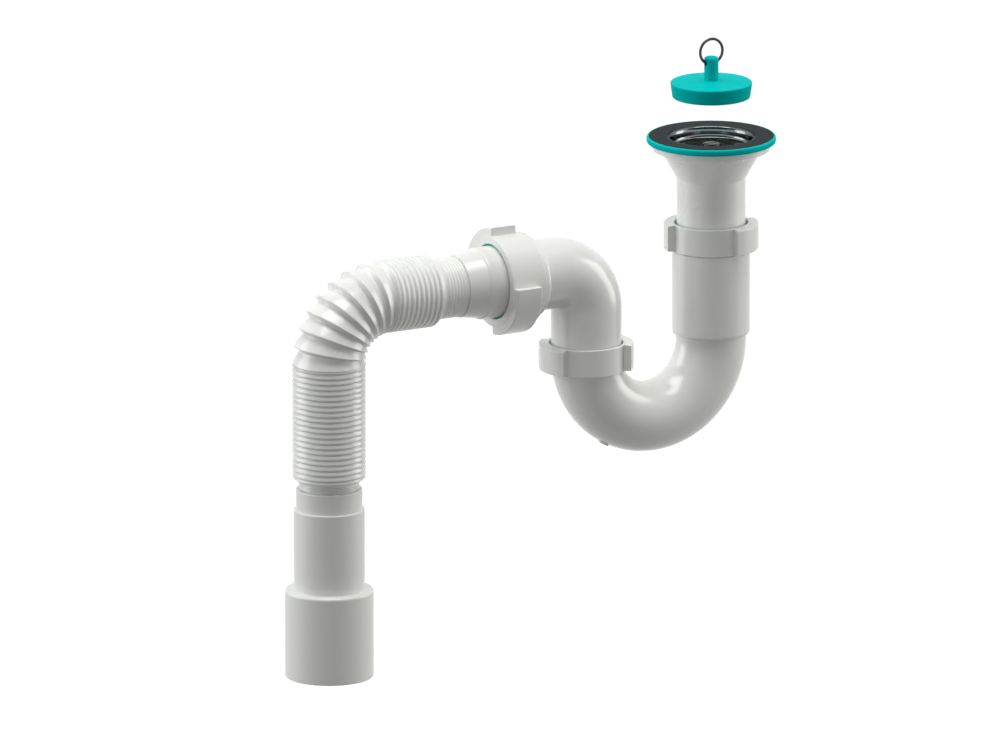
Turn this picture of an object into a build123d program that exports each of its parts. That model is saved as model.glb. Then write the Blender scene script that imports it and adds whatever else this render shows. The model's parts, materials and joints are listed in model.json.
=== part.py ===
from build123d import *
from math import cos, radians, sin, sqrt, tan
import os

# A sink waste with a U-bend trap, an outlet elbow and an extensible corrugated hose, in millimetres.
# The origin is on the waste's axis, level with the underside of the strainer's seal, where the sink bears.
# +Z is up, the outlet runs towards -X, and all the pipe axes lie in the plane Y = 0.

# Pipes and fits
PIPE_R = 20.0           # outside radius of the 40 mm elbow and tail
TAILPIPE_STEP = 0.55    # tailpipe's side inside the 40 mm pipe
PIPE_WALL = 2.2
SOCKET_GAP = 0.3        # pipe in the socket that it slides or turns in
GRIP_GAP = 0.05         # seal on the pipe that it grips
THREAD_GAP = 0.1        # nut's bore on its threaded neck
SEAT_GAP = 0.2          # between faces that meet across a joint
SOFT_EDGE = 0.6         # small moulded edge radius

# Strainer, its seal, screw and insert
PLATE_R = 35.3
PLATE_T = 1.0
SEAL_T = 2.6            # rubber between the plate and the sink
SEAL_LIP = 1.2          # rubber round the plate's edge
SEAL_ROUND = 1.1
BOWL_R = 22.9           # the plug's seat
BOWL_ROUND = 3.0
BOWL_DEPTH = 6.6
BOWL_FLOOR_R = 22.2
BOWL_CORNER = 2.2
HUB_R = 7.3
SLOT_OUTER_R = 18.0
SPOKES = 6
SPOKE_W = 3.2
SCREW_R = 2.9
SCREW_HEAD_R = 5.2
SCREW_HEAD_H = 2.4
SCREW_SLOT_W = 1.2
SCREW_SLOT_DEPTH = 1.1
INSERT_ACROSS = 9.0
INSERT_LENGTH = 10.0

# Funnel and tailpipe
FUNNEL_RIM_R = 33.5
FUNNEL_RIM_T = 3.7
FUNNEL_MOUTH_R = 25.6
CONE_TOP_R = 27.7
CONE_TOP_DEPTH = 5.8
CONE_DEPTH = 20.5
CONE_FILLET = 3.5
BOSS_R = 7.2
BOSS_DEPTH = 9.5
ARMS = 4
ARM_T = 2.6
ARM_H = 7.5
TAILPIPE_SHOWN = 25.7   # from the cone down to the inlet nut
TAILPIPE_HIDDEN = 41.0  # from the top of the inlet nut down inside the socket

# Plug and ring
PLUG_TOP_R = 23.2
PLUG_BOTTOM_R = 22.0
PLUG_H = 8.6
PLUG_LIFT = 31.2        # how far the plug's top stands above the strainer plate
PLUG_CROWN = 0.9
CROWN_R = 9.1           # where the crown rises to the stem
CROWN_ROUND = 8.3
STEM_R = 4.05
STEM_H = 14.6
STEM_ROUND = 1.4
RING_R = 7.2            # to the middle of the wire
WIRE_R = 0.8
EYE_GAP = 0.2           # wire in the stem's eye
EYE_DEPTH = 3.55        # from the top of the stem down to the middle of the eye

# The two small union nuts and their seals
NUT_H = 15.8
NUT_WALL = 1.0
NUT_LIP_T = 2.6
NUT_EDGE = 0.3          # edge radius at a nut's open end
NUT_LEAD = 0.5          # widening of a nut's bore at its open end
NUT_LEAD_H = 3.0
NUT_MOUTH_GAP = 0.9     # from the 40 mm pipe to the nut's mouth
LUG_REACH = 4.45        # of a lug beyond the nut's side
LUG_ARC = 80.0
LUG_DROP = 0.2          # of a lug's top under the nut's mouth
LUG_SLOPE = 4.0         # fall of a lug's top, in degrees
LUG_LOW = 0.4           # from a lug's root to the nut's lower end
LUG_UNDERCUT = 0.4      # rise of a lug's lower end, from its root to its tip
NUT_LUGS = 2
NECK_WALL = 1.0
CONE_SEAL_H = 5.0
INLET_LUG_ANGLE = 275.0
OUTLET_LUG_ANGLE = 131.5

# U-bend
SOCKET_STEP = 0.75      # socket's side beyond the threaded neck
SOCKET_LENGTH = 49.0
SOCKET_ROUND = 2.4
BEND_STEP = 0.1         # bend's side inside the 40 mm pipe
BEND_RADIUS = 40.55
BEND_STRAIGHT = 2.4     # from the socket's lower end to the start of the bend
OUTLET_NUT_RISE = 7.5   # top of the outlet nut above the start of the bend
SPIGOT_DEPTH = 9.5      # of the elbow's spigot under the top of the outlet nut
GATE_R = 3.2            # moulding gate under the bend
GATE_H = 0.8
GATE_ANGLE = 29.0       # past the lowest point, towards the outlet

# Elbow
OUTLET_RISE = 42.35     # outlet axis above the top of the outlet nut
ELBOW_THROAT = 2.0      # radius of the elbow's inside corner
OUTLET_REACH = 40.3     # from the elbow's upright axis to the hose nut
BELL_ROUND = 3.2
BELL_EDGE = 2.6
BELL_SPIGOT = 14.5      # threaded neck inside the hose nut

# Hose nut and its seal
HOSE_NUT_H = 21.3
HOSE_NECK_WALL = 1.6    # of the elbow's threaded neck
HOSE_NUT_WALL = 3.6
HOSE_NUT_LIP_T = 3.4
HOSE_LUG_REACH = 4.6
HOSE_NUT_LUG_LOW = 4.7
HOSE_LUG_ANGLE = -88.0
HOSE_LUG_ARC = 90.0
HOSE_MOUTH_GAP = 1.0
HOSE_SEAL_INSET = 1.8   # of the seal's lip inside the nut's mouth

# Hose nozzle
COLLAR_STEP = 0.3       # collar's side beyond the 40 mm pipe
COLLAR_LENGTH = 10.8
NOZZLE_SHOULDER = 1.0
NOZZLE_RIM_WALL = 1.05
NOZZLE_LENGTH = 12.0
NOZZLE_STEP = 1.2
NOZZLE_INSIDE = 18.0    # spigot behind the nut's mouth

# Corrugated hose
NECK_STEP = 3.5         # hose's neck inside the 40 mm pipe
VALLEY_STEP = 0.5       # valleys beyond the neck
FOLD_DEPTH = 3.7        # from valley to peak
HOSE_WALL = 0.8
NECK_SHOWN = 13.5
NECK_HELD = 9.0         # of each neck inside the fitting that holds it
CUFF_CONE = 5.6
RING_PITCH = 3.11
LEVEL_RINGS = 9
HOSE_BEND_RADIUS = 34.6
HOSE_BEND = 90.0
BEND_FOLDS = 8
FOLD_SHARE = 0.36       # share of an open fold taken by its steep flank
UPRIGHT_RINGS = 21
LOW_CONE = 3.0
LOW_NECK = 3.7

# Tail
TAIL_COLLAR_STEP = 1.3  # collar's side inside the 40 mm pipe
TAIL_COLLAR_LENGTH = 11.7
TAIL_40_LENGTH = 46.5
TAIL_50_R = 25.0
TAIL_50_LENGTH = 50.5
TAIL_WALL = 2.5
TAIL_ROUND = 1.6

# Levels and axes that follow from the sizes above
TAILPIPE_R = PIPE_R - TAILPIPE_STEP
PLATE_TOP = SEAL_T + PLATE_T
INLET_NUT_TOP = -CONE_DEPTH - TAILPIPE_SHOWN
NECK_R = PIPE_R + SOCKET_GAP + NECK_WALL
NUT_BORE_R = NECK_R + THREAD_GAP
NUT_R = NUT_BORE_R + NUT_WALL
LUG_R = NUT_R + LUG_REACH
SOCKET_R = NECK_R + SOCKET_STEP
BEND_PIPE_R = PIPE_R - BEND_STEP
SOCKET_TOP = INLET_NUT_TOP - NUT_H - SEAT_GAP
SOCKET_BOTTOM = SOCKET_TOP - SOCKET_LENGTH
BEND_Z = SOCKET_BOTTOM - BEND_STRAIGHT
ELBOW_X = -2 * BEND_RADIUS
ELBOW_RADIUS = PIPE_R + ELBOW_THROAT
OUTLET_NUT_TOP = BEND_Z + OUTLET_NUT_RISE
OUTLET_Z = OUTLET_NUT_TOP + OUTLET_RISE
COLLAR_R = PIPE_R + COLLAR_STEP
HOSE_BELL_NECK_R = COLLAR_R + SOCKET_GAP + HOSE_NECK_WALL
HOSE_NUT_BORE_R = HOSE_BELL_NECK_R + THREAD_GAP
HOSE_NUT_R = HOSE_NUT_BORE_R + HOSE_NUT_WALL
HOSE_NUT_LUG_R = HOSE_NUT_R + HOSE_LUG_REACH
HOSE_NUT_X = ELBOW_X - OUTLET_REACH
MOUTH_X = HOSE_NUT_X - HOSE_NUT_H
NOZZLE_R = COLLAR_R - NOZZLE_SHOULDER
HOSE_NECK_R = PIPE_R - NECK_STEP
NOZZLE_RIM_R = HOSE_NECK_R + GRIP_GAP + NOZZLE_RIM_WALL
HOSE_VALLEY_R = HOSE_NECK_R + VALLEY_STEP
HOSE_PEAK_R = HOSE_VALLEY_R + FOLD_DEPTH
NOZZLE_END_X = MOUTH_X - COLLAR_LENGTH - NOZZLE_LENGTH
CUFF_X = NOZZLE_END_X - NECK_SHOWN
RINGS_X = CUFF_X - CUFF_CONE
HOSE_BEND_X = RINGS_X - LEVEL_RINGS * RING_PITCH
HOSE_BEND_Z = OUTLET_Z - HOSE_BEND_RADIUS
TAIL_X = HOSE_BEND_X - HOSE_BEND_RADIUS
LEG_BOTTOM = HOSE_BEND_Z - UPRIGHT_RINGS * RING_PITCH
TAIL_COLLAR_R = PIPE_R - TAIL_COLLAR_STEP
TAIL_TOP = LEG_BOTTOM - LOW_CONE - LOW_NECK


def outline(corners):
    """Closed face in the plane Y = 0 from corners (radius, height, optional rounding)."""
    points = [corner[:2] for corner in corners]
    roundings = [corner[2] if len(corner) > 2 else 0 for corner in corners]
    return Plane.XZ * make_face(FilletPolyline(*points, radius=roundings, close=True))


def turned(corners):
    """Solid of revolution about the Z axis."""
    return revolve(outline(corners), Axis.Z)


def upright(solid, x, z):
    """A turned solid set on an upright pipe axis."""
    return Pos(x, 0, z) * solid


def level(solid, x):
    """A turned solid laid on the outlet axis, with its own +Z towards -X and its own +X towards -Y."""
    return Plane(origin=(x, 0, OUTLET_Z), x_dir=(0, -1, 0), z_dir=(-1, 0, 0)) * solid


def rod(radius, low, high):
    """Plain cylinder on the Z axis between two levels."""
    return Pos(0, 0, low) * Cylinder(radius, high - low, align=(Align.CENTER, Align.CENTER, Align.MIN))


def strainer_flange():
    """Pressed strainer: flat rim, rounded seat, bowl and a slotted floor."""
    floor_top = PLATE_TOP - BOWL_DEPTH
    shell = turned([
        (SCREW_R + GRIP_GAP, floor_top),
        (BOWL_FLOOR_R, floor_top, BOWL_CORNER),
        (BOWL_R, PLATE_TOP, BOWL_ROUND),
        (PLATE_R, PLATE_TOP),
        (PLATE_R, PLATE_TOP - PLATE_T),
        (BOWL_R + PLATE_T, PLATE_TOP - PLATE_T, BOWL_ROUND - PLATE_T),
        (BOWL_FLOOR_R + PLATE_T, floor_top - PLATE_T, BOWL_CORNER + PLATE_T),
        (SCREW_R + GRIP_GAP, floor_top - PLATE_T),
    ])
    ring = rod(SLOT_OUTER_R, floor_top - 2 * PLATE_T, floor_top + PLATE_T)
    ring -= rod(HUB_R, floor_top - 2 * PLATE_T, floor_top + PLATE_T)
    for spoke in range(SPOKES):
        bar = Pos(SLOT_OUTER_R / 2, 0, floor_top) * Box(SLOT_OUTER_R, SPOKE_W, 4 * PLATE_T)
        ring -= Rot(0, 0, spoke * 360 / SPOKES) * bar
    return shell - ring


def flange_seal():
    """Flat rubber ring under the strainer plate, with a lip round the plate's edge."""
    bore = BOWL_R + BOWL_ROUND + SOCKET_GAP
    outer = PLATE_R + GRIP_GAP + SEAL_LIP
    return turned([
        (bore, 0),
        (outer, 0, SEAL_ROUND),
        (outer, PLATE_TOP, SEAL_ROUND),
        (PLATE_R + GRIP_GAP, PLATE_TOP),
        (PLATE_R + GRIP_GAP, SEAL_T),
        (bore, SEAL_T),
    ])


def waste_body():
    """Funnel and tailpipe in one moulding, with a boss for the insert on a spider of arms."""
    end = INLET_NUT_TOP - TAILPIPE_HIDDEN
    bore = TAILPIPE_R - PIPE_WALL
    full = turned([
        (0, 0),
        (FUNNEL_RIM_R, 0),
        (FUNNEL_RIM_R, -FUNNEL_RIM_T, SOFT_EDGE),
        (CONE_TOP_R, -CONE_TOP_DEPTH, CONE_FILLET),
        (TAILPIPE_R, -CONE_DEPTH),
        (TAILPIPE_R, end),
        (0, end),
    ])
    hollow = turned([
        (0, 0),
        (FUNNEL_MOUTH_R, 0),
        (CONE_TOP_R - PIPE_WALL, -CONE_TOP_DEPTH),
        (bore, -CONE_DEPTH),
        (bore, end),
        (0, end),
    ])
    spider = rod(BOSS_R, -BOSS_DEPTH - INSERT_LENGTH, -BOSS_DEPTH)
    arm_z = -BOSS_DEPTH - INSERT_LENGTH + ARM_H / 2
    for arm in range(ARMS):
        bar = Pos(CONE_TOP_R / 2, 0, arm_z) * Box(CONE_TOP_R, ARM_T, ARM_H)
        spider += Rot(0, 0, (arm + 0.5) * 360 / ARMS) * bar
    pocket = Pos(0, 0, -BOSS_DEPTH) * extrude(insert_section(GRIP_GAP), -INSERT_LENGTH)
    return full - hollow + (spider & full) - pocket


def insert_section(gap):
    """Hexagon of the brass insert, larger by a gap for its pocket."""
    return RegularPolygon(INSERT_ACROSS / 2 + gap, 6, major_radius=False)


def screw_insert():
    """Hexagonal brass insert with the screw's hole."""
    body = Pos(0, 0, -BOSS_DEPTH) * extrude(insert_section(0), -INSERT_LENGTH)
    return body - rod(SCREW_R + GRIP_GAP, -BOSS_DEPTH - INSERT_LENGTH, -BOSS_DEPTH)


def waste_screw():
    """Round-headed slotted screw, from the strainer's hub into the insert."""
    seat = PLATE_TOP - BOWL_DEPTH
    end = -BOSS_DEPTH - INSERT_LENGTH - SCREW_R
    screw = turned([
        (0, seat + SCREW_HEAD_H),
        (SCREW_HEAD_R, seat + SCREW_HEAD_H, SCREW_HEAD_H / 2),
        (SCREW_HEAD_R, seat),
        (SCREW_R, seat),
        (SCREW_R, end),
        (0, end),
    ])
    slot = Box(2 * SCREW_HEAD_R + SCREW_SLOT_W, SCREW_SLOT_W, 2 * SCREW_SLOT_DEPTH)
    return screw - Pos(0, 0, seat + SCREW_HEAD_H) * slot


def eye_level():
    """Height of the eye in the plug's stem."""
    return PLATE_TOP + PLUG_LIFT + STEM_H - EYE_DEPTH


def wire_rise():
    """How far the ring's wire rises from the middle of the eye to the stem's side."""
    return RING_R - sqrt(RING_R ** 2 - STEM_R ** 2)


def plug():
    """Tapered rubber plug and its stem, one moulding, with an eye for the ring along X."""
    top = PLATE_TOP + PLUG_LIFT
    body = turned([
        (0, top - PLUG_H),
        (PLUG_BOTTOM_R, top - PLUG_H, SOFT_EDGE),
        (PLUG_TOP_R, top, SOFT_EDGE),
        (CROWN_R, top + PLUG_CROWN / 2, CROWN_ROUND),
        (STEM_R, top + PLUG_CROWN, SOFT_EDGE),
        (STEM_R, top + STEM_H, STEM_ROUND),
        (0, top + STEM_H),
    ])
    eye_r = wire_rise() / 2 + WIRE_R + EYE_GAP
    eye = Pos(0, 0, eye_level()) * Rot(0, 90, 0) * Cylinder(eye_r, 2 * CROWN_R)
    return body - eye


def plug_ring():
    """Steel wire ring standing in the stem's eye."""
    centre = eye_level() - wire_rise() / 2 + RING_R
    return Pos(0, 0, centre) * Rot(90, 0, 0) * Torus(RING_R, WIRE_R)


def union_nut(mouth, bore, body, height, lip, lug_r, lug_low, lug_angle, lug_arc):
    """Nut with its mouth up at Z = 0, an inward lip, a lead-in at its open end, and two lugs."""
    nut = turned([
        (mouth, 0, SOFT_EDGE),
        (body, 0, SOFT_EDGE),
        (body, -height, NUT_EDGE),
        (bore + NUT_LEAD, -height),
        (bore, -height + NUT_LEAD_H),
        (bore, -lip),
        (mouth, -lip),
    ])
    root = (bore + body) / 2
    fall = (lug_r - root) * tan(radians(LUG_SLOPE))
    section = outline([
        (root, -LUG_DROP),
        (lug_r, -LUG_DROP - fall, SOFT_EDGE),
        (lug_r, -height + lug_low + LUG_UNDERCUT, SOFT_EDGE),
        (root, -height + lug_low),
    ])
    lug = revolve(section, Axis.Z, lug_arc)
    for index in range(NUT_LUGS):
        nut += Rot(0, 0, lug_angle + index * 360 / NUT_LUGS) * lug
    return nut


def small_nut(lug_angle):
    """The union nut that clamps a 40 mm pipe."""
    return union_nut(PIPE_R + NUT_MOUTH_GAP, NUT_BORE_R, NUT_R, NUT_H, NUT_LIP_T, LUG_R, LUG_LOW, lug_angle,
                     LUG_ARC)


def cone_seal(pipe):
    """Seal between a nut's lip and its neck, with a tapered foot in the neck's mouth."""
    inner = pipe + GRIP_GAP
    return turned([
        (inner, -NUT_LIP_T - SEAT_GAP),
        (NECK_R, -NUT_LIP_T - SEAT_GAP),
        (NECK_R, -NUT_LIP_T - CONE_SEAL_H / 2),
        (inner + SOCKET_GAP, -NUT_LIP_T - CONE_SEAL_H),
        (inner, -NUT_LIP_T - CONE_SEAL_H),
    ])


def neck_cuts(pipe, depth):
    """Pipe bore of a neck under a nut's top, with the tapered seat for its seal."""
    start = -NUT_LIP_T - CONE_SEAL_H / 2 - SEAT_GAP
    seat = turned([
        (0, start),
        (NECK_R, start),
        (pipe + SOCKET_GAP, start - CONE_SEAL_H / 2),
        (0, start - CONE_SEAL_H / 2),
    ])
    return rod(pipe + SOCKET_GAP, -depth, start) + seat


def half_bend(radius):
    """Half ring of pipe from the inlet's axis, down and round to the outlet's axis."""
    section = Plane.XY.offset(BEND_Z) * Circle(radius)
    return revolve(section, Axis((-BEND_RADIUS, 0, BEND_Z), (0, 1, 0)), 180)


def u_bend():
    """Inlet socket, U-bend and outlet neck, one moulding."""
    neck_top = -NUT_LIP_T - CONE_SEAL_H / 2 - SEAT_GAP
    bore = BEND_PIPE_R - PIPE_WALL
    socket = turned([
        (0, INLET_NUT_TOP + neck_top),
        (NECK_R, INLET_NUT_TOP + neck_top),
        (NECK_R, SOCKET_TOP),
        (SOCKET_R, SOCKET_TOP),
        (SOCKET_R, SOCKET_BOTTOM, SOCKET_ROUND),
        (0, SOCKET_BOTTOM),
    ])
    outlet_low = -NUT_H + NUT_LIP_T
    shell = socket + rod(BEND_PIPE_R, BEND_Z, SOCKET_TOP) + half_bend(BEND_PIPE_R)
    shell += upright(rod(NECK_R, outlet_low, neck_top), ELBOW_X, OUTLET_NUT_TOP)
    gate = Pos(0, 0, -BEND_RADIUS) * rod(GATE_R, -BEND_PIPE_R - GATE_H, -bore)
    shell += Pos(-BEND_RADIUS, 0, BEND_Z) * Rot(0, GATE_ANGLE, 0) * gate
    shell -= half_bend(bore)
    socket_depth = INLET_NUT_TOP - SOCKET_BOTTOM - PIPE_WALL
    shell -= upright(neck_cuts(TAILPIPE_R, socket_depth), 0, INLET_NUT_TOP)
    shell -= rod(bore, BEND_Z, SOCKET_TOP)
    shell -= upright(neck_cuts(PIPE_R, SPIGOT_DEPTH + PIPE_WALL), ELBOW_X, OUTLET_NUT_TOP)
    shell -= upright(rod(bore, -OUTLET_NUT_RISE, 0), ELBOW_X, OUTLET_NUT_TOP)
    return shell


def elbow_core(radius):
    """Spigot, quarter bend and level run of the elbow, at one radius."""
    corner_x = ELBOW_X - ELBOW_RADIUS
    corner_z = OUTLET_Z - ELBOW_RADIUS
    spigot = Pos(ELBOW_X, 0, 0) * rod(radius, OUTLET_NUT_TOP - SPIGOT_DEPTH, corner_z)
    section = Pos(ELBOW_X, 0, corner_z) * Circle(radius)
    bend = revolve(section, Axis((corner_x, 0, corner_z), (0, -1, 0)), 90)
    run = level(rod(radius, 0, corner_x - HOSE_NUT_X), corner_x)
    return spigot + bend + run


def outlet_elbow():
    """Elbow with a plain spigot below and a belled, threaded outlet."""
    bell_r = HOSE_NUT_R - BELL_EDGE
    bore = PIPE_R - PIPE_WALL
    bell = turned([
        (0, -BELL_ROUND - BELL_EDGE),
        (bell_r, -BELL_ROUND - BELL_EDGE, BELL_ROUND),
        (bell_r, -SEAT_GAP),
        (HOSE_BELL_NECK_R, -SEAT_GAP),
        (HOSE_BELL_NECK_R, BELL_SPIGOT),
        (0, BELL_SPIGOT),
    ])
    socket = rod(bore, -BELL_EDGE, BELL_SPIGOT)
    socket += rod(COLLAR_R + SOCKET_GAP, HOSE_NUT_H - NOZZLE_INSIDE - PIPE_WALL, BELL_SPIGOT)
    return elbow_core(PIPE_R) + level(bell, HOSE_NUT_X) - elbow_core(bore) - level(socket, HOSE_NUT_X)


def hose_nut():
    """The larger union nut, with its mouth towards the hose."""
    nut = union_nut(COLLAR_R + HOSE_MOUTH_GAP, HOSE_NUT_BORE_R, HOSE_NUT_R, HOSE_NUT_H, HOSE_NUT_LIP_T,
                    HOSE_NUT_LUG_R, HOSE_NUT_LUG_LOW, HOSE_LUG_ANGLE, HOSE_LUG_ARC)
    return level(nut, MOUTH_X)


def hose_seal():
    """Seal between the nut's lip and the elbow's neck, with a lip that shows in the nut's mouth."""
    inner = COLLAR_R + GRIP_GAP
    outer = HOSE_NUT_BORE_R - SOCKET_GAP
    low = BELL_SPIGOT - HOSE_NUT_H + SEAT_GAP
    seal = turned([
        (inner, low),
        (outer, low),
        (outer, -HOSE_NUT_LIP_T - SEAT_GAP),
        (COLLAR_R + HOSE_MOUTH_GAP - SEAT_GAP, -HOSE_NUT_LIP_T - SEAT_GAP),
        (COLLAR_R + HOSE_MOUTH_GAP - SEAT_GAP, -HOSE_SEAL_INSET),
        (inner, -HOSE_SEAL_INSET),
    ])
    return level(seal, MOUTH_X)


def hose_nozzle():
    """End fitting: spigot and collar in the nut, then a tapered body that takes the hose's neck."""
    end = COLLAR_LENGTH + NOZZLE_LENGTH
    bore = PIPE_R - PIPE_WALL
    hold = HOSE_NECK_R + GRIP_GAP
    nozzle = turned([
        (bore, -NOZZLE_INSIDE),
        (COLLAR_R, -NOZZLE_INSIDE, SOFT_EDGE),
        (COLLAR_R, COLLAR_LENGTH - NOZZLE_STEP, NOZZLE_STEP),
        (NOZZLE_R, COLLAR_LENGTH),
        (NOZZLE_RIM_R, end),
        (hold, end),
        (hold, end - NECK_HELD - SEAT_GAP),
        (hold - HOSE_WALL, end - NECK_HELD - SEAT_GAP),
        (bore, COLLAR_LENGTH - NOZZLE_STEP - HOSE_WALL),
    ])
    return level(nozzle, MOUTH_X)


def fold_shift():
    """Distance between the outer and inner folds, square to the hose, that leaves the wall its thickness."""
    flank = RING_PITCH / 2
    return HOSE_WALL * sqrt(1 + ((HOSE_PEAK_R - HOSE_VALLEY_R) / flank) ** 2)


def ring_corners(count, start, shift):
    """Zigzag of closed rings along the hose, from peak to peak, moved inward by a shift."""
    corners = []
    for half in range(2 * count + 1):
        radius = HOSE_VALLEY_R if half % 2 else HOSE_PEAK_R
        corners.append((radius - shift, start + half * RING_PITCH / 2))
    return corners


def closed_length(neck, cone, rings):
    """Straight length of closed hose: held neck, cone and rings, with its neck's end at Z = 0."""
    shift = fold_shift()
    neck_bore = HOSE_NECK_R - 2 * HOSE_WALL
    outer = [(HOSE_NECK_R, 0), (HOSE_NECK_R, neck)] + ring_corners(rings, neck + cone, 0)
    inner = [(neck_bore, 0), (neck_bore, neck)] + ring_corners(rings, neck + cone, shift)
    return revolve(Plane.XZ * make_face(Polyline(*outer, *reversed(inner), close=True)), Axis.Z)


def bend_plane(angle):
    """Plane square to the hose at an angle round its bend."""
    turn = radians(angle)
    origin = (HOSE_BEND_X - HOSE_BEND_RADIUS * sin(turn), 0, HOSE_BEND_Z + HOSE_BEND_RADIUS * cos(turn))
    return Plane(origin=origin, x_dir=(0, 1, 0), z_dir=(-cos(turn), 0, -sin(turn)))


def open_folds(shift):
    """Folds that stand open round the bend, as one solid of flanks between peaks and valleys."""
    sections = [bend_plane(0) * Circle(HOSE_PEAK_R - shift)]
    step = HOSE_BEND / BEND_FOLDS
    for fold in range(BEND_FOLDS):
        sections.append(bend_plane((fold + FOLD_SHARE) * step) * Circle(HOSE_VALLEY_R - shift))
        sections.append(bend_plane((fold + 1) * step) * Circle(HOSE_PEAK_R - shift))
    return loft(sections, ruled=True)


def corrugated_hose():
    """Bellows hose: a level length pushed together, an opened bend, and an upright length."""
    start = NOZZLE_END_X + NECK_HELD
    level_part = level(closed_length(NECK_HELD + NECK_SHOWN, CUFF_CONE, LEVEL_RINGS), start)
    leg = Rot(0, 0, 180) * closed_length(NECK_HELD + LOW_NECK, LOW_CONE, UPRIGHT_RINGS)
    bend = open_folds(0) - open_folds(fold_shift())
    return level_part + bend + upright(leg, TAIL_X, TAIL_TOP - NECK_HELD)


def tail_spigot():
    """Stepped tail for a 40 mm or a 50 mm drain, with a collar on the hose's neck."""
    hold = HOSE_NECK_R + GRIP_GAP
    collar = -TAIL_COLLAR_LENGTH
    step = collar - TAIL_40_LENGTH
    end = step - TAIL_50_LENGTH
    bore_40 = PIPE_R - TAIL_WALL
    bore_50 = TAIL_50_R - TAIL_WALL
    tail = turned([
        (hold, 0),
        (TAIL_COLLAR_R, 0, SOFT_EDGE),
        (TAIL_COLLAR_R, collar),
        (PIPE_R, collar, SOFT_EDGE),
        (PIPE_R, step),
        (TAIL_50_R, step, TAIL_ROUND),
        (TAIL_50_R, end, SOFT_EDGE),
        (bore_50, end),
        (bore_50, step - TAIL_WALL),
        (bore_40, step),
        (bore_40, collar - TAIL_WALL),
        (hold - HOSE_WALL, -NECK_HELD - SEAT_GAP),
        (hold, -NECK_HELD - SEAT_GAP),
    ])
    return upright(tail, TAIL_X, TAIL_TOP)


os.makedirs("parts", exist_ok=True)
pieces = {
    "strainer_flange": strainer_flange(),
    "flange_seal": flange_seal(),
    "waste_body": waste_body(),
    "waste_screw": waste_screw(),
    "screw_insert": screw_insert(),
    "plug": plug(),
    "plug_ring": plug_ring(),
    "u_bend": u_bend(),
    "inlet_nut": upright(small_nut(INLET_LUG_ANGLE), 0, INLET_NUT_TOP),
    "inlet_seal": upright(cone_seal(TAILPIPE_R), 0, INLET_NUT_TOP),
    "outlet_nut": upright(small_nut(OUTLET_LUG_ANGLE), ELBOW_X, OUTLET_NUT_TOP),
    "outlet_seal": upright(cone_seal(PIPE_R), ELBOW_X, OUTLET_NUT_TOP),
    "outlet_elbow": outlet_elbow(),
    "hose_nut": hose_nut(),
    "hose_seal": hose_seal(),
    "hose_nozzle": hose_nozzle(),
    "corrugated_hose": corrugated_hose(),
    "tail_spigot": tail_spigot(),
}
for name, solid in pieces.items():
    export_step(solid, f"parts/{name}.step")
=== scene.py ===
import json
from math import cos, pi, radians, sin

import bpy
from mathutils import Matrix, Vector


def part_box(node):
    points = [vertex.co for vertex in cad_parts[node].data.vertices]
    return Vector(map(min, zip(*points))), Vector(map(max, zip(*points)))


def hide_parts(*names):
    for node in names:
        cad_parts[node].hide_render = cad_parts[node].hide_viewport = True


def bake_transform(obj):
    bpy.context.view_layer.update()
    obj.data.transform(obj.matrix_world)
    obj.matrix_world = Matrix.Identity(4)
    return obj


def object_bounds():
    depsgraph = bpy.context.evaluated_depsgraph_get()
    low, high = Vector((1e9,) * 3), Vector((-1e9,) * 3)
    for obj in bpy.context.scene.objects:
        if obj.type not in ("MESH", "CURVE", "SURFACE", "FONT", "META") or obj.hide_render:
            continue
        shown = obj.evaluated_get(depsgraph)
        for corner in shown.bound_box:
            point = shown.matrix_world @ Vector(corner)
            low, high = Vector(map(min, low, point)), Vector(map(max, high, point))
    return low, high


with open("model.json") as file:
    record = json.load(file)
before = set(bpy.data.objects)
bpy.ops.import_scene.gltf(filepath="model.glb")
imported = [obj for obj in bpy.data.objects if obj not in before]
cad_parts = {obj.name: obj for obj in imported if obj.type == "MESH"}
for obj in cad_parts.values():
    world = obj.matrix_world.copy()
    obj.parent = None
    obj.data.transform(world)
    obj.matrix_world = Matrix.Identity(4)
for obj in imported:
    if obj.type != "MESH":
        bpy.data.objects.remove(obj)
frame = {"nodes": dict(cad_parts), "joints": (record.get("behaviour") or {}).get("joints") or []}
cad_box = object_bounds()
nodes = frame["nodes"]
joints = {joint["name"]: joint for joint in frame["joints"]}


# Waste body: the funnel under the sink and the tailpipe below it, one injection moulding in white
# polypropylene. The screw from the strainer pulls it up against the sink. Its skin is smooth and glossy, with
# faint flow marks from the mould. Its white is brighter than the other parts' as painted light, which stands
# in for the light that the flange's shade takes off the tailpipe.
def add_noise(tree, scale, detail):
    """Noise over the piece, in its own coordinates, so that it moves with the piece."""
    place = tree.nodes.new("ShaderNodeTexCoord")
    noise = tree.nodes.new("ShaderNodeTexNoise")
    noise.inputs["Scale"].default_value = scale
    noise.inputs["Detail"].default_value = detail
    tree.links.new(place.outputs["Object"], noise.inputs["Vector"])
    return noise.outputs["Fac"]


def add_math(tree, operation, first, second):
    """Math node of two inputs, each a socket or a number."""
    node = tree.nodes.new("ShaderNodeMath")
    node.operation = operation
    for socket, value in zip(node.inputs, (first, second)):
        if isinstance(value, (int, float)):
            socket.default_value = value
        else:
            tree.links.new(value, socket)
    return node.outputs[0]


def add_spread(tree, factor, low, spread):
    """Value that goes from low to low plus spread as the factor goes from zero to one."""
    return add_math(tree, "ADD", add_math(tree, "MULTIPLY", factor, spread), low)


def add_mix(tree, factor, first, second):
    """Colour mix of two inputs, each a socket or a colour."""
    node = tree.nodes.new("ShaderNodeMix")
    node.data_type = "RGBA"
    tree.links.new(factor, node.inputs["Factor"])
    for socket, value in ((node.inputs["A"], first), (node.inputs["B"], second)):
        if isinstance(value, tuple):
            socket.default_value = value
        else:
            tree.links.new(value, socket)
    return node.outputs["Result"]


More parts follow.
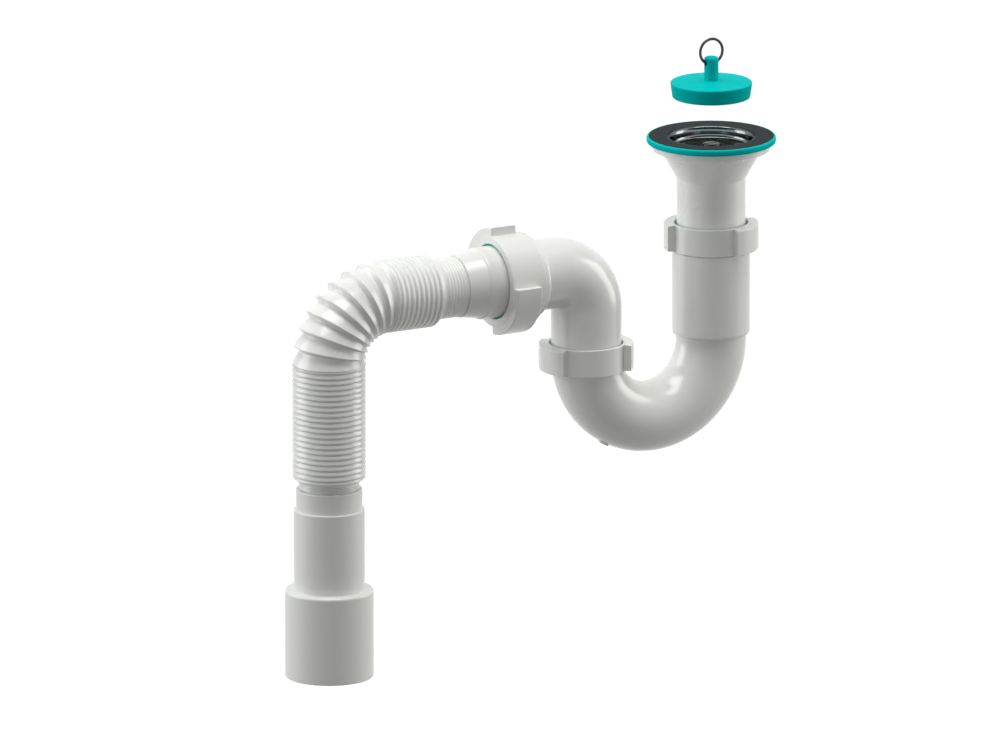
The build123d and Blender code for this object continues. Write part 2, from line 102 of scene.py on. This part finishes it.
FLOW_MARKS = 55.0           # flow marks to the metre
FLOW_DETAIL = 4.0
SKIN_GRAIN = 2600.0         # grains to the metre
SKIN_GRAIN_DETAIL = 2.0
SKIN_INPUTS = (
    ("Colour", "NodeSocketColor"),
    ("Flow Colour", "NodeSocketColor"),
    ("Low Roughness", "NodeSocketFloat"),
    ("High Roughness", "NodeSocketFloat"),
)
SKIN_OUTPUTS = (
    ("Colour", "NodeSocketColor"),
    ("Roughness", "NodeSocketFloat"),
    ("Height", "NodeSocketFloat"),
)
moulded_skin = bpy.data.node_groups.new("moulded_skin", "ShaderNodeTree")
for way, sockets in (("INPUT", SKIN_INPUTS), ("OUTPUT", SKIN_OUTPUTS)):
    for socket_name, kind in sockets:
        moulded_skin.interface.new_socket(socket_name, in_out=way, socket_type=kind)
skin_in = moulded_skin.nodes.new("NodeGroupInput").outputs
skin_out = moulded_skin.nodes.new("NodeGroupOutput").inputs
flow = add_noise(moulded_skin, FLOW_MARKS, FLOW_DETAIL)
skin_colour = add_mix(moulded_skin, flow, skin_in["Colour"], skin_in["Flow Colour"])
skin_spread = add_math(moulded_skin, "SUBTRACT", skin_in["High Roughness"], skin_in["Low Roughness"])
skin_roughness = add_spread(moulded_skin, flow, skin_in["Low Roughness"], skin_spread)
skin_grain = add_noise(moulded_skin, SKIN_GRAIN, SKIN_GRAIN_DETAIL)
moulded_skin.links.new(skin_colour, skin_out["Colour"])
moulded_skin.links.new(skin_roughness, skin_out["Roughness"])
moulded_skin.links.new(skin_grain, skin_out["Height"])


def new_material(name):
    """Material with a Principled shader, and its node tree and shader."""
    material = bpy.data.materials.new(name)
    material.use_nodes = True
    return material, material.node_tree, material.node_tree.nodes["Principled BSDF"]


def add_bump(tree, shader, height, depth):
    """Bump of a given depth, in metres, on the shader's normal."""
    bump = tree.nodes.new("ShaderNodeBump")
    bump.inputs["Strength"].default_value = 1.0
    bump.inputs["Distance"].default_value = depth
    tree.links.new(height, bump.inputs["Height"])
    tree.links.new(bump.outputs["Normal"], shader.inputs["Normal"])


FLOW_TINT = (0.97, 0.97, 0.965)
SKIN_GRAIN_DEPTH = 0.000002
PLASTIC_SHINE = 0.8


def white_plastic(name, white, roughness):
    """White polypropylene with the moulded skin, at a given white and between two roughnesses."""
    material, tree, shader = new_material(name)
    skin = tree.nodes.new("ShaderNodeGroup")
    skin.node_tree = moulded_skin
    flow_white = [part * tint for part, tint in zip(white, FLOW_TINT)]
    low_roughness, high_roughness = roughness
    skin.inputs["Colour"].default_value = (*white, 1)
    skin.inputs["Flow Colour"].default_value = (*flow_white, 1)
    skin.inputs["Low Roughness"].default_value = low_roughness
    skin.inputs["High Roughness"].default_value = high_roughness
    shader.inputs["Specular IOR Level"].default_value = PLASTIC_SHINE
    tree.links.new(skin.outputs["Colour"], shader.inputs["Base Color"])
    tree.links.new(skin.outputs["Roughness"], shader.inputs["Roughness"])
    add_bump(tree, shader, skin.outputs["Height"], SKIN_GRAIN_DEPTH)
    return material


def dress(name, material):
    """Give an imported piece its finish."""
    piece = nodes[name]
    piece.data.materials.clear()
    piece.data.materials.append(material)


# The waste's white is raised above the cream white as painted light, against the flange's shade on the
# tailpipe.
PAINTED_LIGHT_WHITE = (0.97, 0.975, 0.955)
WASTE_ROUGHNESS = (0.24, 0.32)
dress("waste_body", white_plastic("white_with_painted_light", PAINTED_LIGHT_WHITE, WASTE_ROUGHNESS))


# Strainer: a pressed steel plate with a rounded seat, a bowl and a slotted floor. A mask round the axis gives
# the
# steel two colours: dark on the plate, which is a painted dark reflection, and brighter in the bowl, which
# makes painted glints there. It lies on its seal and is held down by the waste screw. Polishing has left
# faint rings on it.
PLATE_DARK_REFLECTION = (0.075, 0.08, 0.08, 1)
PLATE_DARK_REFLECTION_WORN = (0.095, 0.10, 0.10, 1)
BOWL_PAINTED_GLINTS = (0.2, 0.215, 0.225, 1)
STEEL_EDGE_TINT = (0.35, 0.37, 0.37, 1)
GLINT_BOWL_R = 0.0238
POLISH_RINGS = 900.0        # scale of the rings
POLISH_WANDER = 2.0
POLISH_DEPTH = 0.000003
WORN_PATCHES = 140.0        # patches to the metre
WORN_DETAIL = 5.0
STEEL_ROUGHNESS = 0.06
STEEL_ROUGHNESS_SPREAD = 0.16
LEVEL_ONLY = (1, 1, 0)
strainer_steel, strainer_tree, strainer_shader = new_material("steel_with_painted_reflections")
strainer_shader.inputs["Metallic"].default_value = 1.0
strainer_shader.inputs["Specular Tint"].default_value = STEEL_EDGE_TINT
strainer_place = strainer_tree.nodes.new("ShaderNodeTexCoord").outputs["Object"]
polish_rings = strainer_tree.nodes.new("ShaderNodeTexWave")
polish_rings.wave_type = "RINGS"
polish_rings.rings_direction = "Z"
polish_rings.inputs["Scale"].default_value = POLISH_RINGS
polish_rings.inputs["Distortion"].default_value = POLISH_WANDER
strainer_tree.links.new(strainer_place, polish_rings.inputs["Vector"])
from_axis = strainer_tree.nodes.new("ShaderNodeVectorMath")
from_axis.operation = "MULTIPLY"
from_axis.inputs[1].default_value = LEVEL_ONLY
strainer_tree.links.new(strainer_place, from_axis.inputs[0])
axis_distance = strainer_tree.nodes.new("ShaderNodeVectorMath")
axis_distance.operation = "LENGTH"
strainer_tree.links.new(from_axis.outputs["Vector"], axis_distance.inputs[0])
# Mask of the bowl: inside it the steel is brighter as painted glints, outside it the plate is dark as a
# painted dark reflection.
glint_mask = add_math(strainer_tree, "LESS_THAN", axis_distance.outputs["Value"], GLINT_BOWL_R)
worn = add_noise(strainer_tree, WORN_PATCHES, WORN_DETAIL)
# Random worn patches in the plate's painted dark reflection.
plate_colour = add_mix(strainer_tree, worn, PLATE_DARK_REFLECTION, PLATE_DARK_REFLECTION_WORN)
strainer_reflection_colour = add_mix(strainer_tree, glint_mask, plate_colour, BOWL_PAINTED_GLINTS)
strainer_roughness = add_spread(strainer_tree, worn, STEEL_ROUGHNESS, STEEL_ROUGHNESS_SPREAD)
strainer_tree.links.new(strainer_reflection_colour, strainer_shader.inputs["Base Color"])
strainer_tree.links.new(strainer_roughness, strainer_shader.inputs["Roughness"])
add_bump(strainer_tree, strainer_shader, polish_rings.outputs["Fac"], POLISH_DEPTH)
dress("strainer_flange", strainer_steel)


# Flange seal: a flat ring of teal rubber under the strainer's rim, with a lip round the plate's edge.
# It is moulded, has a satin skin with a faint bloom, and is squeezed between the plate and the sink.
TEAL = (0.0003, 0.55, 0.54, 1)
TEAL_BLOOM = (0.0006, 0.505, 0.495, 1)
BLOOM_PATCHES = 90.0        # patches to the metre
BLOOM_DETAIL = 5.0
RUBBER_GRAIN = 3200.0       # grains to the metre
RUBBER_GRAIN_DETAIL = 3.0
RUBBER_GRAIN_DEPTH = 0.000012
RUBBER_ROUGHNESS = 0.42
RUBBER_ROUGHNESS_SPREAD = 0.2
RUBBER_SHINE = 0.01
teal_rubber, teal_tree, teal_shader = new_material("teal_rubber")
teal_shader.inputs["Specular IOR Level"].default_value = RUBBER_SHINE
bloom = add_noise(teal_tree, BLOOM_PATCHES, BLOOM_DETAIL)
teal_colour = add_mix(teal_tree, bloom, TEAL, TEAL_BLOOM)
teal_roughness = add_spread(teal_tree, bloom, RUBBER_ROUGHNESS, RUBBER_ROUGHNESS_SPREAD)
rubber_grain = add_noise(teal_tree, RUBBER_GRAIN, RUBBER_GRAIN_DETAIL)
teal_tree.links.new(teal_colour, teal_shader.inputs["Base Color"])
teal_tree.links.new(teal_roughness, teal_shader.inputs["Roughness"])
add_bump(teal_tree, teal_shader, rubber_grain, RUBBER_GRAIN_DEPTH)
dress("flange_seal", teal_rubber)


# Waste screw and its insert: a slotted round-headed steel screw through the strainer's hub, into a hexagonal
# brass insert pressed into the waste body's boss. Both are turned, and slightly stained by water.
STAIN_PATCHES = 400.0       # patches to the metre
STAIN_DETAIL = 4.0
STAIN_ROUGHNESS_SPREAD = 0.18


def stained_metal(name, colour, stain, roughness):
    """Bare metal with small stains, which are rougher than the metal."""
    material, tree, shader = new_material(name)
    shader.inputs["Metallic"].default_value = 1.0
    stained = add_noise(tree, STAIN_PATCHES, STAIN_DETAIL)
    stained_roughness = add_spread(tree, stained, roughness, STAIN_ROUGHNESS_SPREAD)
    tree.links.new(add_mix(tree, stained, colour, stain), shader.inputs["Base Color"])
    tree.links.new(stained_roughness, shader.inputs["Roughness"])
    return material


SCREW_STEEL = (0.06, 0.06, 0.062, 1)
SCREW_STAIN = (0.045, 0.045, 0.045, 1)
BRASS = (0.72, 0.56, 0.26, 1)
BRASS_STAIN = (0.6, 0.45, 0.2, 1)
TURNED_ROUGHNESS = 0.2
dress("waste_screw", stained_metal("dark_screw", SCREW_STEEL, SCREW_STAIN, TURNED_ROUGHNESS))
dress("screw_insert", stained_metal("turned_brass", BRASS, BRASS_STAIN, TURNED_ROUGHNESS))


# Plug and ring: a tapered plug and its stem in one teal rubber moulding, with a ring of dark steel wire
# through the stem's eye. The plug is lifted out and hangs clear above the strainer.
RING_STEEL = (0.07, 0.07, 0.07, 1)
RING_STAIN = (0.035, 0.035, 0.037, 1)
WIRE_ROUGHNESS = 0.16
dress("plug", teal_rubber)
dress("plug_ring", stained_metal("ring_wire", RING_STEEL, RING_STAIN, WIRE_ROUGHNESS))


# U-bend: the inlet socket, the bend that holds the water and the threaded outlet neck, one moulding in a
# cream white. It looks darker than the waste only because the waste's white carries painted light. It is
# glossier than the waste, and its socket takes the tailpipe.
CREAM_WHITE = (0.84, 0.845, 0.82)
GLOSSY_ROUGHNESS = (0.18, 0.25)
glossy_white = white_plastic("glossy_white", CREAM_WHITE, GLOSSY_ROUGHNESS)
dress("u_bend", glossy_white)


# Small union nuts and their seals: two moulded nuts with two lugs each, which clamp conical teal seals on the
# tailpipe and on the elbow's spigot. The nuts are screwed on by hand.
SATIN_ROUGHNESS = (0.2, 0.28)
satin_white = white_plastic("satin_white", CREAM_WHITE, SATIN_ROUGHNESS)
for nut in ("inlet_nut", "outlet_nut"):
    dress(nut, satin_white)
for seal in ("inlet_seal", "outlet_seal"):
    dress(seal, teal_rubber)


# Elbow: a quarter bend with a plain spigot below and a belled, threaded outlet, one moulding as glossy as the
# U-bend. Its spigot stands in the U-bend's outlet, where the small nut's seal grips it.
dress("outlet_elbow", glossy_white)


# Hose nut, seal and nozzle: the larger union nut on the elbow's bell, the teal seal in its mouth, and the
# tapered end fitting that it clamps, in which the hose's neck is held. The nut and the nozzle are moulded.
dress("hose_nut", satin_white)
dress("hose_seal", teal_rubber)
dress("hose_nozzle", satin_white)


# Corrugated hose: a blow-moulded bellows, pushed together where it runs level and where it hangs, and drawn
# open round its bend. Its necks are held in the nozzle and the tail. It is made in two lengths here, so that
# each one bends or stretches with one joint.
NECK_R = 0.0165             # this and the other sizes are in metres
VALLEY_R = 0.017
PEAK_R = 0.0207
HOSE_WALL = 0.0008
NECK_HELD = 0.006
NECK_SHOWN = 0.0135
NECK_RIDGES = 7
RIDGE_HEIGHT = 0.0006
CUFF_CONE = 0.0056
RING_PITCH = 0.00311
LEVEL_RINGS = 9
BEND_FOLDS = 8
STEEP_SHARE = 0.18          # share of a fold that its steep flank takes up
INSIDE_SHARE = 0.35         # depth of a fold inside the bend, as a share of its depth outside
GROOVE_PLACE = 0.5          # share of a closed ring at which its groove lies
GROOVE_DEPTH = 0.0011
CREST_POWER = 2.2           # the higher it is, the narrower the grooves between the crests
LOW_CONE = 0.003
LOW_NECK = 0.0037
LOW_RIDGES = 4
RING_STEPS = 16
FOLD_STEPS = 20
HOSE_SIDES = 104
ACROSS = Vector((0, 1, 0))
bend_centre = Vector(joints["hose_bend"]["pos_m"])
bend_radius = joints["hose_swivel"]["pos_m"][2] - bend_centre.z
nozzle_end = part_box("hose_nozzle")[0].x
tail_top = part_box("tail_spigot")[1].z
level_length = nozzle_end - bend_centre.x
bend_length = bend_radius * pi / 2
leg_length = bend_centre.z - tail_top


def hose_point(station, radius, angle):
    """Point on the hose: station along its axis from the nozzle, radius from it and angle round it."""
    turn = min(max((station - level_length) / bend_radius, 0), pi / 2)
    before = min(station - level_length, 0)
    after = max(station - level_length - bend_length, 0)
    out = Vector((-sin(turn), 0, cos(turn)))
    along = Vector((-cos(turn), 0, -sin(turn)))
    axis_point = bend_centre + bend_radius * out + (before + after) * along
    return axis_point + radius * (cos(angle) * out + sin(angle) * ACROSS)


def fold_rise(part):
    """Height of a fold from crest to crest, one to zero down its steep flank and back up its long one."""
    if part < STEEP_SHARE:
        return 1 - part / STEEP_SHARE
    return (part - STEEP_SHARE) / (1 - STEEP_SHARE)


def closed_rings(start, count):
    """Stations and two radii of folds pushed together: rounded crests with narrow grooves between them."""
    rows = []
    for step in range(count * RING_STEPS + 1):
        part = (step / RING_STEPS + STEEP_SHARE - GROOVE_PLACE) % 1
        radius = PEAK_R - GROOVE_DEPTH * (1 - fold_rise(part)) ** CREST_POWER
        rows.append((start + step * RING_PITCH / RING_STEPS, radius, radius))
    return rows


def open_folds(start, length, count):
    """Stations and radii, outside and inside the bend, of folds that are drawn open."""
    rows = []
    for step in range(1, count * FOLD_STEPS):
        outside = VALLEY_R + (PEAK_R - VALLEY_R) * fold_rise(step % FOLD_STEPS / FOLD_STEPS)
        inside = PEAK_R - INSIDE_SHARE * (PEAK_R - outside)
        rows.append((start + step * length / count / FOLD_STEPS, outside, inside))
    return rows


def ridged_neck(start, length, count):
    """Stations and two radii of a neck with fine ridges round it."""
    rows = []
    for step in range(count * RING_STEPS + 1):
        radius = NECK_R + RIDGE_HEIGHT * abs(sin(pi * step / RING_STEPS))
        rows.append((start + step * length / count / RING_STEPS, radius, radius))
    return rows


HOSE_WHITE = (0.87, 0.875, 0.855)
glossy_hose = white_plastic("glossy_hose", HOSE_WHITE, SATIN_ROUGHNESS)


def hose_piece(name, rows):
    """Length of hose over the rows: a smooth tube with an inner wall that follows the outer one."""
    inner_rows = [(station, outside - HOSE_WALL, inside - HOSE_WALL) for station, outside, inside in rows]
    loop = rows + inner_rows[::-1]
    points = []
    for station, outside, inside in loop:
        for side in range(HOSE_SIDES):
            angle = 2 * pi * side / HOSE_SIDES
            radius = outside + (inside - outside) * (1 - cos(angle)) / 2
            points.append(hose_point(station, radius, angle))
    faces = []
    for row in range(len(loop)):
        here = row * HOSE_SIDES
        there = (row + 1) % len(loop) * HOSE_SIDES
        for side in range(HOSE_SIDES):
            beside = (side + 1) % HOSE_SIDES
            faces.append((here + side, there + side, there + beside, here + beside))
    mesh = bpy.data.meshes.new(name)
    mesh.from_pydata(points, [], faces)
    mesh.validate()
    mesh.polygons.foreach_set("use_smooth", [True] * len(mesh.polygons))
    piece = bpy.data.objects.new(name, mesh)
    bpy.context.scene.collection.objects.link(piece)
    piece.data.materials.append(glossy_hose)
    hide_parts("corrugated_hose")
    return piece


rings_start = NECK_SHOWN + CUFF_CONE
bend_end = level_length + bend_length
leg_rings = round((leg_length - LOW_CONE - LOW_NECK) / RING_PITCH)
leg_end = bend_end + leg_rings * RING_PITCH
low_neck_start = leg_end + LOW_CONE
upper_rows = [(-NECK_HELD, NECK_R, NECK_R)]
upper_rows += ridged_neck(0, NECK_SHOWN, NECK_RIDGES)
upper_rows += closed_rings(rings_start, LEVEL_RINGS)
upper_rows += open_folds(level_length, bend_length, BEND_FOLDS)
upper_rows += [(bend_end, PEAK_R, PEAK_R)]
lower_rows = closed_rings(bend_end, leg_rings)
lower_rows += ridged_neck(low_neck_start, LOW_NECK, LOW_RIDGES)
lower_rows += [(low_neck_start + LOW_NECK + NECK_HELD, NECK_R, NECK_R)]
upper_hose = hose_piece("hose_bend_length", upper_rows)
lower_hose = hose_piece("hose_leg_length", lower_rows)
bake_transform(upper_hose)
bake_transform(lower_hose)


# Tail: the stepped end that enters a 40 mm or a 50 mm drain, moulded in the same white with a duller skin.
# The hose's lower neck is held in its top.
DULL_ROUGHNESS = (0.3, 0.38)
dress("tail_spigot", white_plastic("dull_white", CREAM_WHITE, DULL_ROUGHNESS))


# Backdrop: the white studio round the trap. It is plain white where it is seen, straight or in a reflection,
# and lights the trap evenly with a small share of that.
SEEING_RAYS = ("Is Camera Ray", "Is Glossy Ray", "Is Transmission Ray")


def split_by_ray(tree, lighting, seen, output):
    """Send one shader to the rays that only bring light, and another to those that show what is there."""
    path = tree.nodes.new("ShaderNodeLightPath")
    straight, mirrored, through = (path.outputs[ray] for ray in SEEING_RAYS)
    seeing = add_math(tree, "MAXIMUM", add_math(tree, "MAXIMUM", straight, mirrored), through)
    mix = tree.nodes.new("ShaderNodeMixShader")
    for source, socket in zip((seeing, lighting.outputs[0], seen.outputs[0]), mix.inputs):
        tree.links.new(source, socket)
    tree.links.new(mix.outputs[0], tree.nodes[output].inputs["Surface"])


AMBIENT = 0.24
PLAIN_WHITE = (1, 1, 1, 1)
studio = bpy.data.worlds.new("studio")
studio.use_nodes = True
bpy.context.scene.world = studio
studio_light = studio.node_tree.nodes["Background"]
studio_light.inputs["Color"].default_value = PLAIN_WHITE
studio_light.inputs["Strength"].default_value = AMBIENT
backdrop = studio.node_tree.nodes.new("ShaderNodeBackground")
backdrop.inputs["Color"].default_value = PLAIN_WHITE
backdrop.inputs["Strength"].default_value = 1.0
split_by_ray(studio.node_tree, studio_light, backdrop, "World Output")


# Floor: a plain pale floor well below the trap. It is seen as white with the trap's soft shadow on it, and
# throws a little of the lamps' light back up.
FLOOR_DROP = 0.3
FLOOR_HALF = 6.0
FLOOR_GLOW = 0.98
FLOOR_SHADE = (0.12, 0.12, 0.12, 1)
FLOOR_GREY = (0.2, 0.2, 0.2, 1)
FLOOR_ROUGHNESS = 0.9
CORNER_SIGNS = ((-1, -1), (1, -1), (1, 1), (-1, 1))
floor_z = cad_box[0][2] - FLOOR_DROP
floor_corners = [(FLOOR_HALF * x, FLOOR_HALF * y, floor_z) for x, y in CORNER_SIGNS]
floor_mesh = bpy.data.meshes.new("floor")
floor_mesh.from_pydata(floor_corners, [], [range(len(floor_corners))])
floor = bpy.data.objects.new("floor", floor_mesh)
bpy.context.scene.collection.objects.link(floor)
floor_paint, floor_tree, floor_shader = new_material("floor_paint")
floor_shader.inputs["Base Color"].default_value = FLOOR_GREY
floor_shader.inputs["Roughness"].default_value = FLOOR_ROUGHNESS
floor_glow = floor_tree.nodes.new("ShaderNodeEmission")
floor_glow.inputs["Strength"].default_value = FLOOR_GLOW
floor_shade = floor_tree.nodes.new("ShaderNodeBsdfDiffuse")
floor_shade.inputs["Color"].default_value = FLOOR_SHADE
floor_seen = floor_tree.nodes.new("ShaderNodeAddShader")
floor_tree.links.new(floor_glow.outputs[0], floor_seen.inputs[0])
floor_tree.links.new(floor_shade.outputs[0], floor_seen.inputs[1])
split_by_ray(floor_tree, floor_shader, floor_seen, "Material Output")
floor.data.materials.append(floor_paint)


# Softboxes: a slightly cool one to the left, a slightly warm one to the right and a broad one overhead, all
# turned to the middle of the trap. Each row gives the metres right of that, behind it and above it, the width
# and height, the power in watts and the colour.
SOFTBOXES = (
    ("left_softbox", (-2.6, 0.3, 0.6), (1.8, 2.4), 38.0, (0.97, 0.99, 1.0)),
    ("right_softbox", (2.6, 0.7, 0.6), (1.4, 2.4), 33.0, (1.0, 0.99, 0.95)),
    ("top_softbox", (0.0, -0.25, 2.6), (2.2, 1.6), 52.0, (1.0, 1.0, 0.98)),
)
VIEW_AZIMUTH = radians(-29.5)
VIEW_AIM = Vector((-0.1369, 0, -0.1187))
UP = Vector((0, 0, 1))
view_right = Vector((cos(VIEW_AZIMUTH), sin(VIEW_AZIMUTH), 0))
view_away = Vector((-sin(VIEW_AZIMUTH), cos(VIEW_AZIMUTH), 0))
for softbox_name, (right, away, up), (width, height), watts, colour in SOFTBOXES:
    lamp = bpy.data.lights.new(softbox_name, "AREA")
    lamp.shape = "RECTANGLE"
    lamp.size = width
    lamp.size_y = height
    lamp.energy = watts
    lamp.color = colour
    softbox_way = right * view_right + away * view_away + up * UP
    softbox = bpy.data.objects.new(softbox_name, lamp)
    softbox.location = VIEW_AIM + softbox_way
    softbox.rotation_euler = (-softbox_way).to_track_quat("-Z", "Y").to_euler()
    bpy.context.scene.collection.objects.link(softbox)


# Camera: a long lens far off, in front and to the left of the trap and a little above it, so that upright
# edges stay parallel as they do in the photograph.
VIEW_ELEVATION = radians(14.2)
VIEW_DISTANCE = 18.768
LENS = 1200.0               # millimetres
CLIP_REACH = 4 * VIEW_DISTANCE
camera_way = -cos(VIEW_ELEVATION) * view_away + sin(VIEW_ELEVATION) * UP
camera_data = bpy.data.cameras.new("camera")
camera_data.lens = LENS
camera_data.clip_end = CLIP_REACH
camera = bpy.data.objects.new("camera", camera_data)
camera.location = VIEW_AIM + VIEW_DISTANCE * camera_way
camera.rotation_euler = (-camera_way).to_track_quat("-Z", "Y").to_euler()
bpy.context.scene.collection.objects.link(camera)
bpy.context.scene.camera = camera
bpy.context.scene.view_settings.view_transform = "Standard"
